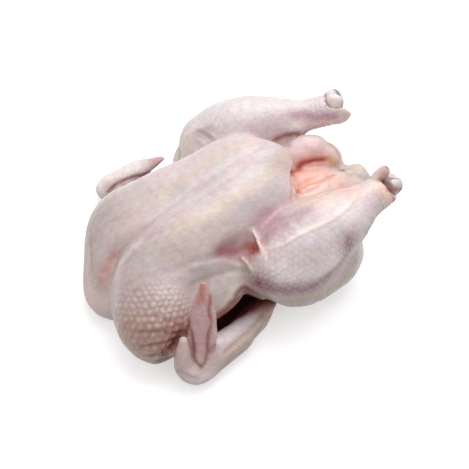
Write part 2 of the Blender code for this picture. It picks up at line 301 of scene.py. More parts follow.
def surfaceNet(values, low, step):
    # One vertex in each cell that the surface crosses, one quad across each edge that it crosses
    inside = values < 0
    size = np.array(values.shape)
    corners = [(i, j, k) for i in (0, 1) for j in (0, 1) for k in (0, 1)]
    part = {c: tuple(slice(c[i], size[i] - 1 + c[i]) for i in range(3)) for c in corners}
    count = sum(inside[part[c]].astype(np.int8) for c in corners)
    cells = np.argwhere((count > 0) & (count < 8))
    index = np.full(size - 1, -1)
    index[tuple(cells.T)] = np.arange(len(cells))
    corner = {c: values[tuple((cells + c).T)] for c in corners}
    total, hits = np.zeros((len(cells), 3)), np.zeros(len(cells))
    for a in corners:
        for axis in (i for i in range(3) if a[i] == 0):
            b = tuple(1 if i == axis else a[i] for i in range(3))
            crossed = (corner[a] < 0) != (corner[b] < 0)
            t = np.where(crossed, corner[a] / np.where(crossed, corner[a] - corner[b], 1), 0)
            place = np.tile(np.array(a, float), (len(cells), 1))
            place[:, axis] = t
            total += place * crossed[:, None]
            hits += crossed
    verts = low + (cells + total / hits[:, None]) * step
    quads = []
    for axis in range(3):
        here, there = [slice(1, -1)] * 3, [slice(1, -1)] * 3
        here[axis], there[axis] = slice(0, -1), slice(1, None)
        first = inside[tuple(here)]
        edges = np.argwhere(first != inside[tuple(there)])
        leaving = first[tuple(edges.T)]
        edges = edges + [0 if i == axis else 1 for i in range(3)]
        u, v = [i for i in range(3) if i != axis][::-1 if axis == 1 else 1]
        ring = []
        for du, dv in ((1, 1), (0, 1), (0, 0), (1, 0)):
            cell = edges.copy()
            cell[:, u] -= du
            cell[:, v] -= dv
            ring.append(index[tuple(cell.T)])
        ring = np.stack(ring, 1)
        ring[~leaving] = ring[~leaving][:, ::-1]
        quads.append(ring)
    return verts, np.vstack(quads)


def settled(distance, verts, rounds, furthest):
    # The vertices moved on to the surface along its slope, and the slope as unit normals
    for _ in range(rounds):
        slope = [distance(verts + probe * axis) - distance(verts - probe * axis) for axis in np.eye(3)]
        slope = np.stack(slope, 1) / (2 * probe)
        steepness = np.linalg.norm(slope, axis=1) + 1e-3
        move = np.clip(distance(verts) / steepness, -furthest, furthest)
        normals = slope / steepness[:, None]
        verts = verts - move[:, None] * normals
    return verts, normals


skin = dict(low=(-142, -124, -4), high=(118, 116, 114), step=1.43)
values = distanceGrid(fleshDistance, skin["low"], skin["high"], skin["step"])
skinVerts, skinQuads = surfaceNet(values, np.array(skin["low"], float), skin["step"])
skinVerts, skinNormals = settled(fleshDistance, skinVerts, 2, skin["step"])
print("skin has", len(skinVerts), "points and", len(skinQuads), "faces")


# folds, creases and colours of the skin, with painted light and shade in places

# each mark follows a line over the skin. Its values are how far it spreads to each side, how high its middle
# stands (negative for a crease), the colour it is painted and how strongly, and then the points of its line
bareSkin = "#d4c8c7"
marks = {
    # broad colour of each part, with painted shade and painted light where noted below
    "breastTop": (26, 0, "#cac1c1", 0.75, ((-60, -8, 82), (-5, -4, 97), (20, 0, 98))),
    "breastNear": (18, 0, "#c0b1ac", 0.7, ((-70, -44, 76), (-30, -42, 83), (6, -32, 84))),
    "breastFarSide": (16, 0, "#d2c5c3", 0.6, ((-90, 14, 60), (-40, 26, 80), (5, 24, 86))),
    "frontSlope": (26, 0, "#a99a96", 0.7, ((-118, -25, 45), (-100, -30, 66))),
    "farFront": (26, 0, "#aea099", 0.75, ((-122, 8, 38), (-100, 25, 52))),
    "neckPink": (14, 0, "#d8b4ac", 0.65, ((-132, -15, 18), (-125, 10, 14))),
    "shoulderBrown": (26, 0, "#b08879", 0.95, ((-112, -78, 34), (-95, -88, 36), (-88, -92, 34))),
    # painted shade: brown low on the shoulder, where it nears the table
    "shoulderLowShade": (14, 0, "#b09684", 0.7, ((-116, -78, 12), (-100, -88, 12))),
    "sideBeige": (17, 0, "#bdb4b0", 0.75, ((-62, -72, 46), (-40, -68, 52))),
    "forearmBrown": (14, 0, "#a98d82", 0.9, ((-76, -112, 8), (-48, -102, 6), (-12, -74, 5))),
    "handMauve": (12, 0, "#c8a3a5", 0.95, ((-77, -104, 34), (-72, -97, 60))),
    # pale skin at the wrist, painted lighter still as painted light where the wrist lies in shade
    "wristPaleAndLit": (7, 0, "#efe3df", 0.9, ((-87, -116, 17), (-82, -118, 13), (-76, -118, 13))),
    "bellyOrange": (14, 0, "#e9b6a5", 0.95, ((36, -12, 71), (50, -3, 66), (64, -1, 65))),
    "thighCream": (17, 0, "#e2ccc0", 0.9, ((34, -46, 84), (52, -30, 66), (58, -46, 80))),
    "thighOrange": (10, 0, "#e3ad96", 0.5, ((62, -42, 80), (68, -30, 68), (80, -12, 58))),
    "flankPink": (13, 0, "#dac2c2", 0.85, ((40, 28, 77), (52, 20, 76), (72, 16, 70), (80, 12, 62))),
    "flankRed": (7, 0, "#cf7f6d", 0.7, ((38, 2, 74), (50, 10, 68), (66, 12, 67))),
    "tailCream": (13, 0, "#cabdb5", 0.95, ((90, 4, 54), (101, -6, 48))),
    "farLegWhite": (18, 0, "#dad4d6", 0.7, ((-6, 70, 84), (30, 56, 92), (66, 46, 94))),
    "drumTop": (15, 0, "#ddd6da", 0.4, ((-2, -76, 76), (24, -76, 79), (56, -64, 78))),
    "lobeBeige": (14, 0, "#ab9b94", 0.65, ((-108, -60, 58), (-98, -74, 50))),
    "legRoot": (9, 0, "#a88f96", 0.8, ((-2, -54, 79), (8, -60, 83), (22, -58, 84))),
    "anklePale": (8, 0, "#efe4e6", 0.7, ((50, -66, 80), (62, -67, 79))),
    "neckPale": (9, 0, "#e0cac3", 0.8, ((-134, -23, 19), (-128, -31, 25), (-125, -42, 27))),
    "drumSpots": (18, 0, None, 0, ((-16, -80, 66), (-2, -89, 60), (20, -90, 58), (40, -85, 60))),
    # the breast: bands of yellow fat below the skin and pink lines beside the keel
    "bandNear": (5.5, 0, "#d9bc9c", 0.3, ((-71, -36, 83), (-52, -36, 87), (-25, -31, 91), (1, -23, 94),
        (19, -12, 91), (28, -5, 92))),
    "bandFar": (5.5, 0, "#dcc0a0", 0.28, ((-101, -2, 63), (-74, 2, 75), (-54, 7, 82), (-36, 8, 89),
        (-18, 12, 97), (12, 14, 99))),
    "bandLow": (6, 0, "#cdb9a4", 0.25, ((-84, -50, 72), (-62, -52, 74), (-40, -50, 76))),
    "keelLine": (2.6, -0.5, "#c6a3a8", 0.3, ((-115, -19, 48), (-97, -15, 66), (-79, -16, 77),
        (-54, -10, 84), (-19, -6, 96), (14, 4, 100))),
    "keelPale": (3, 0.4, "#ddd6d8", 0.4, ((-84, -11, 77), (-54, -4, 86), (-19, 0, 98), (12, 8, 100))),
    "breastLine": (2.2, -0.3, "#cfa6a8", 0.35, ((-94, -28, 73), (-74, -27, 82), (-34, -18, 91),
        (5, -6, 98))),
    "breastBlue": (8, 0, "#c3c1c8", 0.3, ((-20, -40, 84), (2, -36, 86), (14, -30, 86))),
    "keelTip": (4.5, 1.2, "#cbb596", 0.8, ((33, 1, 92), (36, 2, 88))),
    "rearEdge": (1.7, -1.6, "#b98e80", 0.7, ((34, -6, 82), (33, -14, 79), (29, -22, 76), (24, -32, 73))),
    "rearMauve": (9, 0, "#b899a2", 0.5, ((20, -34, 78), (8, -44, 78), (-2, -50, 77))),
    # the fold in front where the two sides of the breast meet the neck skin
    # valley and valleyRed paint the shade that lies in this fold, in pinkish brown, over the crease they cut
    "valley": (5, -1.2, "#b98d86", 0.45, ((-82, -17, 76), (-93, -15, 69), (-104, -14, 59),
        (-115, -17, 48), (-124, -26, 32))),
    "valleyRed": (5, -0.8, "#b07f74", 0.45, ((-112, -12, 53), (-118, -16, 46), (-122, -22, 38))),
    "valleyRidge": (3, 0.9, "#dccbc8", 0.6, ((-94, -30, 73), (-103, -32, 65), (-112, -36, 56),
        (-117, -46, 52), (-119, -56, 42))),
    "neckStreakA": (1.5, 0.5, "#d9c6be", 0.6, ((-124, 8, 42), (-128, -3, 36), (-131, -16, 28))),
    "neckStreakB": (1.4, -0.5, "#a98a80", 0.6, ((-118, 14, 46), (-124, 1, 41), (-126, -12, 36))),
    "neckStreakC": (1.4, -0.5, "#ab8d85", 0.5, ((-128, 14, 30), (-133, -2, 24), (-134, -16, 18))),
    # the shoulder: rows of skin run into the crevice by the wrist
    "shoulderFoldA": (1.5, -0.9, "#7f5648", 0.6, ((-110, -82, 40), (-100, -89, 42), (-92, -93, 40),
        (-85, -96, 40))),
    "shoulderFoldB": (1.5, -1.1, "#774b3f", 0.7, ((-112, -87, 31), (-103, -93, 35), (-94, -96, 36),
        (-87, -97, 38))),
    "shoulderFoldC": (1.6, -1.1, "#7a463b", 0.75, ((-112, -91, 22), (-104, -96, 27), (-96, -97, 30),
        (-89, -96, 34))),
    "shoulderFoldD": (1.4, -0.6, "#8a6456", 0.5, ((-106, -79, 50), (-98, -84, 49), (-90, -89, 46),
        (-84, -92, 44))),
    "crevice": (3, -1.2, "#6e2f26", 0.9, ((-102, -97, 24), (-96, -97, 30), (-90, -96, 36), (-84, -95, 43),
        (-81, -94, 50))),
    "creviceGlow": (6, 0, "#965a4a", 0.5, ((-100, -94, 30), (-90, -92, 42), (-84, -91, 50))),
    # the side: folds of skin drawn from the shoulder to the drumstick
    "hollowMauve": (9, 0, "#a66d72", 0.9, ((-40, -54, 67), (-30, -56, 65), (-22, -59, 67),
        (-18, -64, 68))),
    "hollowRed": (4, 0, "#9c3c30", 0.85, ((-20, -57, 67), (-18, -64, 67))),
    "hollowTop": (8, 0, "#b98f9b", 0.7, ((-9, -49, 76), (2, -47, 78), (-4, -62, 79))),
    "sideFoldA": (2.2, -0.8, "#b39a90", 0.5, ((-68, -72, 58), (-52, -67, 56), (-36, -67, 56),
        (-28, -74, 59))),
    "sideFoldB": (2, 0.9, "#d6c9c4", 0.6, ((-70, -62, 66), (-56, -60, 64), (-42, -60, 62),
        (-33, -65, 59))),
    "sideFoldC": (3, -0.5, None, 0, ((-92, -58, 62), (-76, -60, 66), (-60, -60, 68), (-46, -58, 66))),
    "strandGlow": (1.3, 0, "#f2dfcd", 0.95, ((-15, -52, 74), (-15.5, -64, 72), (-16, -76, 72))),
    "strandTail": (4, 0, "#ddd0c8", 0.7, ((-16, -74, 72), (-14, -80, 66))),
    "strandGlowLow": (1.2, 0, "#ecd9c6", 0.9, ((-28, -62, 62), (-27, -69, 63), (-26, -75, 62.5))),
    "strandShade": (2.4, -0.6, "#8e5a4c", 0.5, ((-25, -65, 63), (-24, -70, 62))),
    "lipPale": (1.5, 0.4, "#e3cabb", 0.9, ((-54, -79, 34), (-50, -79, 37), (-45, -78, 42),
        (-39, -75, 45.5), (-34, -74, 47), (-31, -73, 48), (-28, -77, 48), (-24, -81, 46.5))),
    "lipRed": (2.6, 0, "#8a4b42", 1.0, ((-55, -80, 30), (-51, -80, 31), (-47, -79, 33), (-44, -78, 36),
        (-40, -77, 38), (-38, -76, 41), (-34, -74, 43), (-31, -73, 43), (-28, -74, 41), (-26, -75, 38),
        (-22, -76, 34), (-19, -77, 30))),
    "lipEdge": (2.6, 0, "#7c4139", 0.95, ((-54, -81, 27), (-50, -80, 28), (-46, -79, 30.5),
        (-42, -79, 33), (-38, -78, 36), (-35, -76, 37.5), (-32, -75, 38.5), (-29, -75, 38),
        (-26, -76, 35.5), (-22, -76, 31.5))),
    # the drumsticks
    # a raised line along the drumstick's crease, painted pale as a highlight
    "drumCrease": (1.5, 0.7, "#f3ddd2", 0.6, ((-12, -72, 75), (-3, -75, 78), (8, -75, 82), (20, -73, 83),
        (33, -71, 84), (47, -66, 84), (58, -60, 84), (67, -50, 84))),
    "drumCreaseSide": (3, -0.5, None, 0, ((8, -71, 84), (33, -67, 86), (52, -60, 85))),
    "drumMauve": (9.5, 0, "#87525d", 0.95, ((-22, -84, 53), (-12, -88, 51), (2, -91, 45), (16, -90, 42),
        (30, -88, 46), (40, -86, 54), (46, -80, 64))),
    # painted light: a near white wash that lifts the lower side of the drumstick out of its shade
    "drumSideLight": (10, 0, "#faf0f2", 0.9, ((-6, -88, 62), (14, -90, 58), (34, -86, 60))),
    "drumPale": (6.5, 0, "#c2b3a4", 0.85, ((-18, -83, 38), (-5, -86, 31), (9, -88, 28), (25, -86, 26),
        (40, -82, 25), (52, -78, 30), (60, -71, 42))),
    # painted shade: duller brown low under the drumstick by the table, on both sides of the bird
    "drumUnderShade": (14, 0, "#b29a92", 0.7, ((-8, -78, 14), (20, -80, 10), (46, -70, 10))),
    "kneeGrey": (6, 0, "#aba29c", 0.5, ((62, -68, 58), (58, -74, 46), (50, -78, 34))),
    "thighFoldA": (1.6, -0.4, "#e2bfa8", 0.5, ((28, -40, 76), (38, -44, 80), (50, -44, 78))),
    "thighFoldB": (1.5, -0.3, "#e0c0ae", 0.4, ((30, -48, 82), (42, -50, 84), (54, -48, 82))),
    "ankleMauve": (5, 0, "#e2ccd2", 0.7, ((75, -50, 82), (74, -57, 80), (70, -64, 77))),
    "ankleDark": (5, 0, "#94797a", 0.7, ((88, -57, 64), (80, -62, 62), (70, -69, 62))),
    # the soft fat between the legs
    "fatA": (1.5, -1.3, "#cf6f55", 0.6, ((31, -24, 70), (38, -18, 68), (46, -11, 65), (58, -11, 65),
        (71, -6, 62))),
    "fatB": (1.4, -0.9, "#dc8468", 0.65, ((37, -13, 68), (46, -8, 66), (57, -5, 65))),
    "fatC": (1.4, -1, "#d4785c", 0.65, ((33, -17, 74), (40, -20, 71), (48, -17, 66), (54, -16, 66))),
    "fatSwell": (5, 1.4, None, 0, ((42, -2, 68), (54, 1, 66), (66, 0, 64))),
    "fatSwellLow": (6, 1.2, None, 0, ((42, -22, 72), (54, -20, 68), (64, -18, 65))),
    "flankFold": (2, -2.2, "#a83f2e", 0.9, ((34, -8, 78), (39, 0, 71), (45, 8, 66), (56, 11, 66),
        (66, 10, 66), (76, 10, 63))),
    "flankFoldDeep": (1.8, -1, "#611b16", 0.9, ((33, -9, 79), (38, -2, 73))),
    "flankYellow": (4, 0.6, "#d9b088", 0.8, ((74, 11, 64), (81, 9, 60))),
    "flankSpot": (2, -0.8, "#8f6a4c", 0.8, ((82, 5, 57), (84, 4, 55))),
    "flankTop": (9, 4.0, None, 0, ((46, 33, 76), (56, 32, 76), (66, 28, 75), (76, 20, 70))),
    "flankEdge": (2.2, 0, "#c98f8a", 0.7, ((56, 37, 77), (62, 35, 76), (70, 31, 74), (79, 21, 69),
        (84, 14, 63))),
    "flankGrain": (2.2, 0.5, "#cfa6a6", 0.5, ((58, 20, 75), (66, 14, 70))),
    "legCrease": (2.4, -1.6, "#83382c", 0.9, ((38, 33, 77), (43, 34, 77), (50, 35, 79), (57, 35, 78))),
    "tailFoldA": (1.6, -0.8, "#b69c8a", 0.6, ((84, 0, 57), (92, -6, 54), (99, -10, 49))),
    "tailFoldB": (1.6, -0.6, "#bfa896", 0.5, ((92, 7, 56), (99, 3, 55), (104, -3, 50))),
    "tailLump": (4, 1.4, "#dccbae", 0.6, ((95, 4, 57), (97, 2, 56))),
    # the far leg
    "farMauve": (4.5, 0, "#b98ea0", 0.75, ((56, 41, 91), (64, 38, 91), (72, 34, 89), (86, 29, 89))),
    "farPatch": (7, 0, "#c7acb2", 0.55, ((24, 40, 88), (40, 42, 90), (52, 40, 92))),
    "farPale": (3, 0, "#ead6c8", 0.7, ((56, 36, 85), (75, 32, 83), (92, 29, 84))),
    "farWrinkleA": (1.4, -0.8, "#bfa09e", 0.6, ((-16, 64, 79), (-11, 59, 77), (-7, 50, 77))),
    "farWrinkleB": (1.4, 0.7, "#efe5e2", 0.7, ((-11, 65, 81), (-7, 58, 80), (-4, 50, 79))),
    "farWrinkleC": (1.4, 0.6, "#e9dcd4", 0.6, ((-20, 63, 74), (-17, 60, 73), (-14, 53, 74))),
    # pale skin at the far knee, painted lighter still as painted light where the knee lies in shade
    "farKneePaleAndLit": (8, 0, "#f4e6da", 0.85, ((-33, 80, 43), (-29, 70, 58), (-25, 66, 70))),
    "farHockBits": (3.5, 0.6, "#d9c7b2", 0.8, ((96, 33, 96), (98, 31, 90), (98, 31, 84))),
    # the right wing
    "handTip": (5, 0, "#bd7a70", 0.85, ((-68, -90, 78), (-71, -94, 68))),
    "handRed": (1.5, -1.2, "#8c3a2c", 0.9, ((-65, -94, 70), (-68, -101, 60), (-67, -103, 52),
        (-70, -105, 46), (-72, -107, 39), (-73, -110, 32))),
    "handRim": (1.6, 0.5, "#c98878", 0.8, ((-66, -91, 76), (-63, -95, 68), (-62, -99, 57),
        (-64, -104, 46))),
    "handCreaseA": (1.4, -1.4, "#76403a", 0.85, ((-81, -99, 46), (-82, -102, 40), (-82, -105, 34),
        (-83, -111, 27), (-80, -115, 23))),
    "handCreaseB": (1.3, -1.1, "#7e4a42", 0.8, ((-80, -115, 23), (-76, -114, 25), (-73, -111, 31),
        (-66, -110, 34))),
    "handCreaseC": (1.2, -0.8, "#8a5248", 0.6, ((-73, -111, 30), (-68, -112, 30), (-64, -110, 32))),
    "thumbPale": (5, 0, "#d2c1bd", 0.8, ((-87, -103, 43), (-90, -108, 36), (-92, -111, 28))),
    "wristFold": (1.6, -0.6, "#a07c72", 0.5, ((-94, -108, 20), (-90, -114, 17), (-84, -117, 15))),
    "forearmPale": (5.5, 0, "#d0c6cc", 0.85, ((-62, -99, 24), (-46, -90, 21), (-32, -83, 19))),
    "forearmFold": (1.4, 0.7, "#d2bba6", 0.7, ((-62, -110, 18), (-48, -104, 18), (-34, -94, 16),
        (-20, -83, 14), (-10, -73, 11))),
    "forearmGroove": (1.4, -0.8, "#a58880", 0.5, ((-60, -108, 21), (-46, -101, 21), (-32, -91, 18),
        (-19, -80, 16))),
    "elbowOrange": (4.5, 0, "#b58c6c", 0.6, ((-18, -82, 13), (-8, -72, 10), (-4, -66, 8))),
    # the left wing
    # pale skin on the far wing, painted lighter still as painted light where its top lies in shade
    "farWingPale": (8, 0, "#f2e6e2", 1.0, ((-92, 97, 19), (-77, 96, 26), (-60, 92, 32))),
    "farWingMauve": (4, 0, "#9b7878", 0.3, ((-88, 92, 22), (-80, 91, 26))),
    "farWingRed": (1.8, -0.6, "#80352b", 0.85, ((-86, 88, 17), (-78, 88, 24), (-66, 86, 28),
        (-52, 84, 29))),
    "farWingTip": (4, 0, "#c28f86", 0.8, ((-40, 89, 38), (-47, 89, 36))),
    # the cut ends of the legs
    "tendonPink": (5, 0, "#c8958c", 0.95, ((88, -41, 79), (93, -40, 85))),
    "tendonCut": (2.6, 0, "#4e1518", 1.0, ((96, -39, 88), (97, -39, 87))),
    "tendonBase": (2, -0.8, "#6a2624", 0.9, ((87, -45, 80), (92, -44, 79), (95, -42, 78))),
    "rimFat": (4, 0.5, "#f0cdb8", 0.85, ((84, -48, 83), (87, -53, 81), (90, -57, 77), (93, -57, 73))),
    "rimRed": (1.6, -0.6, "#a8392c", 0.7, ((90, -52, 79), (93, -54, 75), (95, -54, 70))),
}
# how much more plainly the pale spots of the follicles are seen under a mark
spots = {"drumSpots": 0.16, "drumMauve": 0.1}
# marks that the other side of the bird has too
mirrored = ("sideBeige", "sideFoldA", "sideFoldB", "drumMauve", "drumPale", "drumUnderShade", "shoulderFoldA",
            "shoulderFoldB", "shoulderFoldC")


def wobble(points, size, seed):
    # a smooth uneven value from -1 to 1 that changes over about this many millimetres
    draw = np.random.default_rng(seed)
    total = np.zeros(len(points))
    for _ in range(7):
        direction = draw.normal(size=3)
        direction *= 2 * math.pi / size / np.linalg.norm(direction) * draw.uniform(0.6, 1.3)
        total += np.sin(points @ direction + draw.uniform(0, 2 * math.pi))
    return total / 4


def lineWeight(points, line, width):
    # how strongly a line marks each point: one on the line, falling off like a bell curve to each side,
    # and how full the mark is there, as it fades out at its ends
    spread = 2.4 * width
    near = ((points > line.min(0) - spread) & (points < line.max(0) + spread)).all(1)
    local = points[near]
    best = np.full(len(local), 1e9)
    along = np.zeros(len(local))
    for i in range(len(line) - 1):
        step = line[i + 1] - line[i]
        t = np.clip((local - line[i]) @ step / (step @ step + 1e-9), 0, 1)
        distance2 = np.square(local - line[i] - t[:, None] * step).sum(1)
        closer = distance2 < best
        best[closer] = distance2[closer]
        along[closer] = (i + t[closer]) / (len(line) - 1)
    weight, full = np.zeros(len(points)), np.ones(len(points))
    weight[near] = np.exp(-best / width ** 2)
    full[near] = smoothStep(-0.02, 0.16, along) * smoothStep(1.02, 0.84, along)
    return weight, full


def linear(colour):
    # linear values of an sRGB hex colour
    parts = [int(colour[i:i + 2], 16) / 255 for i in (1, 3, 5)]
    return np.array([c / 12.92 if c <= 0.04045 else ((c + 0.055) / 1.055) ** 2.4 for c in parts])


def painted(under, colour, share):
    # the colour laid over what is there, by its share at each point
    share = share[:, None]
    return under * (1 - share) + linear(colour) * share


rest = skinVerts.copy()              # the plain forms, which all marks are measured on
lift = 0.35 * wobble(rest, 24, 1) + 0.16 * wobble(rest, 9, 2)
tint = np.tile(linear(bareSkin), (len(rest), 1))
uneven = 1 + 0.25 * wobble(rest, 7, 3)
spotted = np.zeros(len(rest))        # how much more plainly the pale spots are seen
drawn = [(name, mark[-1]) for name, mark in marks.items()]
drawn += [(name, [(x, -y, z) for x, y, z in marks[name][-1]]) for name in mirrored]
lines = [smoothPath(path, 5 * len(path)) for _, path in drawn]
onSkin, _ = settled(fleshDistance, np.vstack(lines), 3, 3.0)
lines = np.split(onSkin, np.cumsum([len(line) for line in lines])[:-1])
for (name, _), line in zip(drawn, lines):
    width, raised, colour, strength, _ = marks[name]
    weight, full = lineWeight(rest, line, width)
    lift += raised * weight * full
    spotted += spots.get(name, 0) * weight
    if colour:
        tint = painted(tint, colour, np.clip(weight * strength * uneven, 0, 1))
print("marks drawn")


# the inside of the fold behind each wing, where light hardly reaches, painted with shade: deep red further
# out and almost black within

pocketShade = dict(edge="#86473d", deep="#451a16")
paintedShadeShare = np.zeros(len(rest))
for pit, lip, arm in (("pitRight", "lipRight", "forearmRight"), ("pitLeft", "lipLeft", "forearmLeft")):
    intoPit = formDistance(rest, hollows[pit])
    fromLip = limbDistance(rest, wingForms[lip]["stations"])
    fromArm = limbDistance(rest, wingForms[arm]["stations"])
    wall = smoothStep(1.6, 0.2, intoPit) * smoothStep(0.6, 3.0, fromLip) * smoothStep(0.8, 3.5, fromArm)
    armSide = smoothStep(1.0, -6.0, intoPit) * smoothStep(3.5, 0.8, fromArm)
    inside = np.maximum(wall, armSide)
    tint = painted(tint, pocketShade["edge"], inside)
    within = (inside * smoothStep(1.5, 6.0, fromLip) * smoothStep(1.5, -2.0, intoPit)
              * smoothStep(0.8, 3.5, fromArm))
    tint = painted(tint, pocketShade["deep"], within)
    paintedShadeShare = np.maximum(paintedShadeShare, inside)


# the skin laid out flat in millimetres, so that its follicles stand in rows

def wrapped(points, start, end, around):
    # how far along a limb's axis a point lies, its angle round the axis times a set radius, and that angle
    # as a share of half a turn
    start, end = np.array(start, float), np.array(end, float)
    axis = unit(end - start)
    beside = unit(np.cross(axis, (0, 0, 1)))
    over = np.cross(beside, axis)
    local = points - start
    angle = np.arctan2(local @ beside, local @ over)
    return np.stack([local @ axis, angle * around, np.abs(angle) / math.pi], 1)


def globed(points, centre, pole, facing, radius):
    # longitude and latitude on a ball, in millimetres at that radius
    pole = unit(pole)
    facing = unit(facing - pole * (facing @ pole))
    local = points - centre
    local /= np.linalg.norm(local, axis=1)[:, None] + 1e-9
    latitude = np.arcsin(np.clip(local @ pole, -1, 1))
    longitude = np.arctan2(local @ np.cross(pole, facing), local @ facing)
    return np.stack([longitude * np.cos(latitude), latitude, np.zeros(len(local))], 1) * radius


# spacing is the distance between follicles, bump how high they stand and show how plainly their
# pale spots are seen
tracts = {
    "trunk": dict(forms=("ribs", "breastRight", "breastRearRight", "breastLeft", "breastRearLeft", "neckSkin",
                         "frontLeft", "sideRight", "sideLeft", "rump"), spacing=4.4, bump=0.04, show=0.02,
                  layout=wrapped(rest, (0, 0, 30), (1, 0, 30), 55)),
    "shoulderRight": dict(forms=("shoulderRight",), spacing=5.3, bump=0.85, show=0.2,
                          layout=globed(rest, (-84, -54, 28), (0.15, 0.62, 0.77), (-0.26, -0.66, 0.71), 40)),
    "shoulderLeft": dict(forms=("shoulderLeft",), spacing=5.3, bump=0.55, show=0.12,
                         layout=globed(rest, (-80, 30, 26), (0.15, -0.62, 0.77), (-0.26, 0.66, 0.71), 36)),
    "legRight": dict(forms=("drumRight", "thighRight"), spacing=4.6, bump=0.12, show=0.05,
                     layout=wrapped(rest, (0, -66, 52), (92, -44, 71.5), 24)),
    "legLeft": dict(forms=("drumLeft", "thighLeft"), spacing=4.6, bump=0.12, show=0.05,
                    layout=wrapped(rest, (0, 68, 60), (93, 40, 86), 24)),
    "wingRight": dict(forms=("forearmRight", "handRight", "thumbRight", "webRight", "upperArmRight",
                             "lipRight"), spacing=3.4, bump=0.15, show=0.06,
                      layout=wrapped(rest, (-8, -63, 8), (-81, -105, 12), 12)),
    "wingLeft": dict(forms=("forearmLeft", "handLeft", "webLeft", "upperArmLeft", "lipLeft"), spacing=3.4,
                     bump=0.15, show=0.06, layout=wrapped(rest, (4, 60, 12), (-80, 97, 11), 12)),
}
# places with no follicles: the fat between the legs, the tail and the cut ends
bare = (((50, -18, 66), 30), ((66, 16, 68), 22), ((94, 0, 50), 20), ((92, -48, 78), 12), ((90, 36, 96), 12))
# rows stand out most low on the shoulders, where the skin is slack
slack = {"shoulderRight": (-104, -84, 34), "shoulderLeft": (-92, 60, 22)}

allForms = {**rightTrunk, **leftTrunk, **rearForms, **legForms, **wingForms}
gaps = np.array([np.min([formDistance(rest, allForms[name]) for name in tract["forms"]], 0)
                 for tract in tracts.values()])
owner = gaps.argmin(0)
ordered = np.sort(gaps, 0)
seam = smoothStep(0.2, 3.5, ordered[1] - ordered[0])
rows = np.zeros((len(rest), 3))
bump, show = np.zeros(len(rest)), np.zeros(len(rest))
for i, (name, tract) in enumerate(tracts.items()):
    mine = owner == i
    rows[mine, :2] = tract["layout"][mine, :2] / tract["spacing"]
    # the rows end where the turn round a limb closes
    whole = smoothStep(0.99, 0.9, tract["layout"][mine, 2])
    bump[mine], show[mine] = tract["bump"] * whole, tract["show"] * whole
    if name in slack:
        away = np.linalg.norm(rest[mine] - slack[name], axis=1)
        bump[mine] *= 0.06 + 0.94 * smoothStep(50, 12, away)
        show[mine] *= 0.2 + 0.8 * smoothStep(50, 14, away)
for centre, radius in bare:
    clear = smoothStep(radius * 0.7, radius * 1.1, np.linalg.norm(rest - centre, axis=1))
    bump, show = bump * clear, show * clear
# no pale follicle spots show under the painted shade in the pockets behind the wings
bump, show = bump * seam, (show + spotted) * (0.2 + 0.8 * seam) * (1 - paintedShadeShare)

# rings of slack skin round the ankles and across the right wing tip: how high and how far apart
rings = dict(ankle=0.28, ankleApart=3.6, hand=0.22, handApart=3.8)
ankles = {"drumRight": ((48, -55, 62), (92, -44, 71.5)), "drumLeft": ((44, 54.5, 76.5), (93, 39.5, 86))}
for name, (start, end) in ankles.items():
    along = wrapped(rest, start, end, 1)[:, 0]
    onLeg = smoothStep(4.0, 1.0, formDistance(rest, legForms[name]))
    ring = smoothStep(26, 34, along) * smoothStep(52, 44, along) * onLeg
    lift += rings["ankle"] * ring * np.sin(2 * math.pi * along / rings["ankleApart"]
                                           + 2.2 * wobble(rest, 18, 4))
alongHand = wrapped(rest, (-81, -105, 14), (-68, -90, 76), 1)[:, 0]
onHand = smoothStep(2.0, 0.5, formDistance(rest, wingForms["handRight"])) * smoothStep(14, 24, alongHand)
onHand *= smoothStep(62, 50, alongHand)
lift += rings["hand"] * onHand * np.sin(2 * math.pi * alongHand / rings["handApart"] + wobble(rest, 14, 5))
skinVerts = rest + skinNormals * lift[:, None]
skinVerts[:, 2] = np.maximum(skinVerts[:, 2], np.minimum(rest[:, 2], 0.0))


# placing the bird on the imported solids

carcassLow, carcassHigh = (np.array(corner) * 1000 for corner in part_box("carcass"))
toFrame = (carcassLow + carcassHigh - rest.min(0) - rest.max(0)) / 2
toFrame[2] = 0
print("the bird's own origin lies at", toFrame.round(2), "mm in the frame")


def placed(name, data):
    made = bpy.data.objects.new(name, data)
    bpy.context.scene.collection.objects.link(made)
    return made


def meshObject(name, verts, faces):
    # a smooth mesh at the origin from points in the bird's millimetres
    mesh = bpy.data.meshes.new(name)
    mesh.from_pydata(((verts + toFrame) / 1000).tolist(), [], faces.tolist())
    mesh.shade_smooth()
    return placed(name, mesh)


def pointAttribute(piece, name, kind, values):
    layer = piece.data.attributes.new(name, kind, "POINT")
    field = "color" if kind == "FLOAT_COLOR" else "vector"
    layer.data.foreach_set(field, np.ascontiguousarray(values, np.float32).ravel())


birdSkin = meshObject("bird_skin", skinVerts, skinQuads)
pointAttribute(birdSkin, "tint", "FLOAT_COLOR", np.hstack([tint, np.ones((len(tint), 1))]))
pointAttribute(birdSkin, "rows", "FLOAT_VECTOR", rows)
pointAttribute(birdSkin, "follicles", "FLOAT_VECTOR", np.stack([bump, show, np.zeros(len(bump))], 1))
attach(birdSkin, "root")
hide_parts("carcass")

# gristle is bluish white, with grey patches, a groove between the condyles, and blood where it was cut
gristle = dict(step=0.8, margin=3, colour="#d6cfd2", grey="#a9a3ad", cream="#dccbbb", blood="#8a4a46",
               groove=0.5)
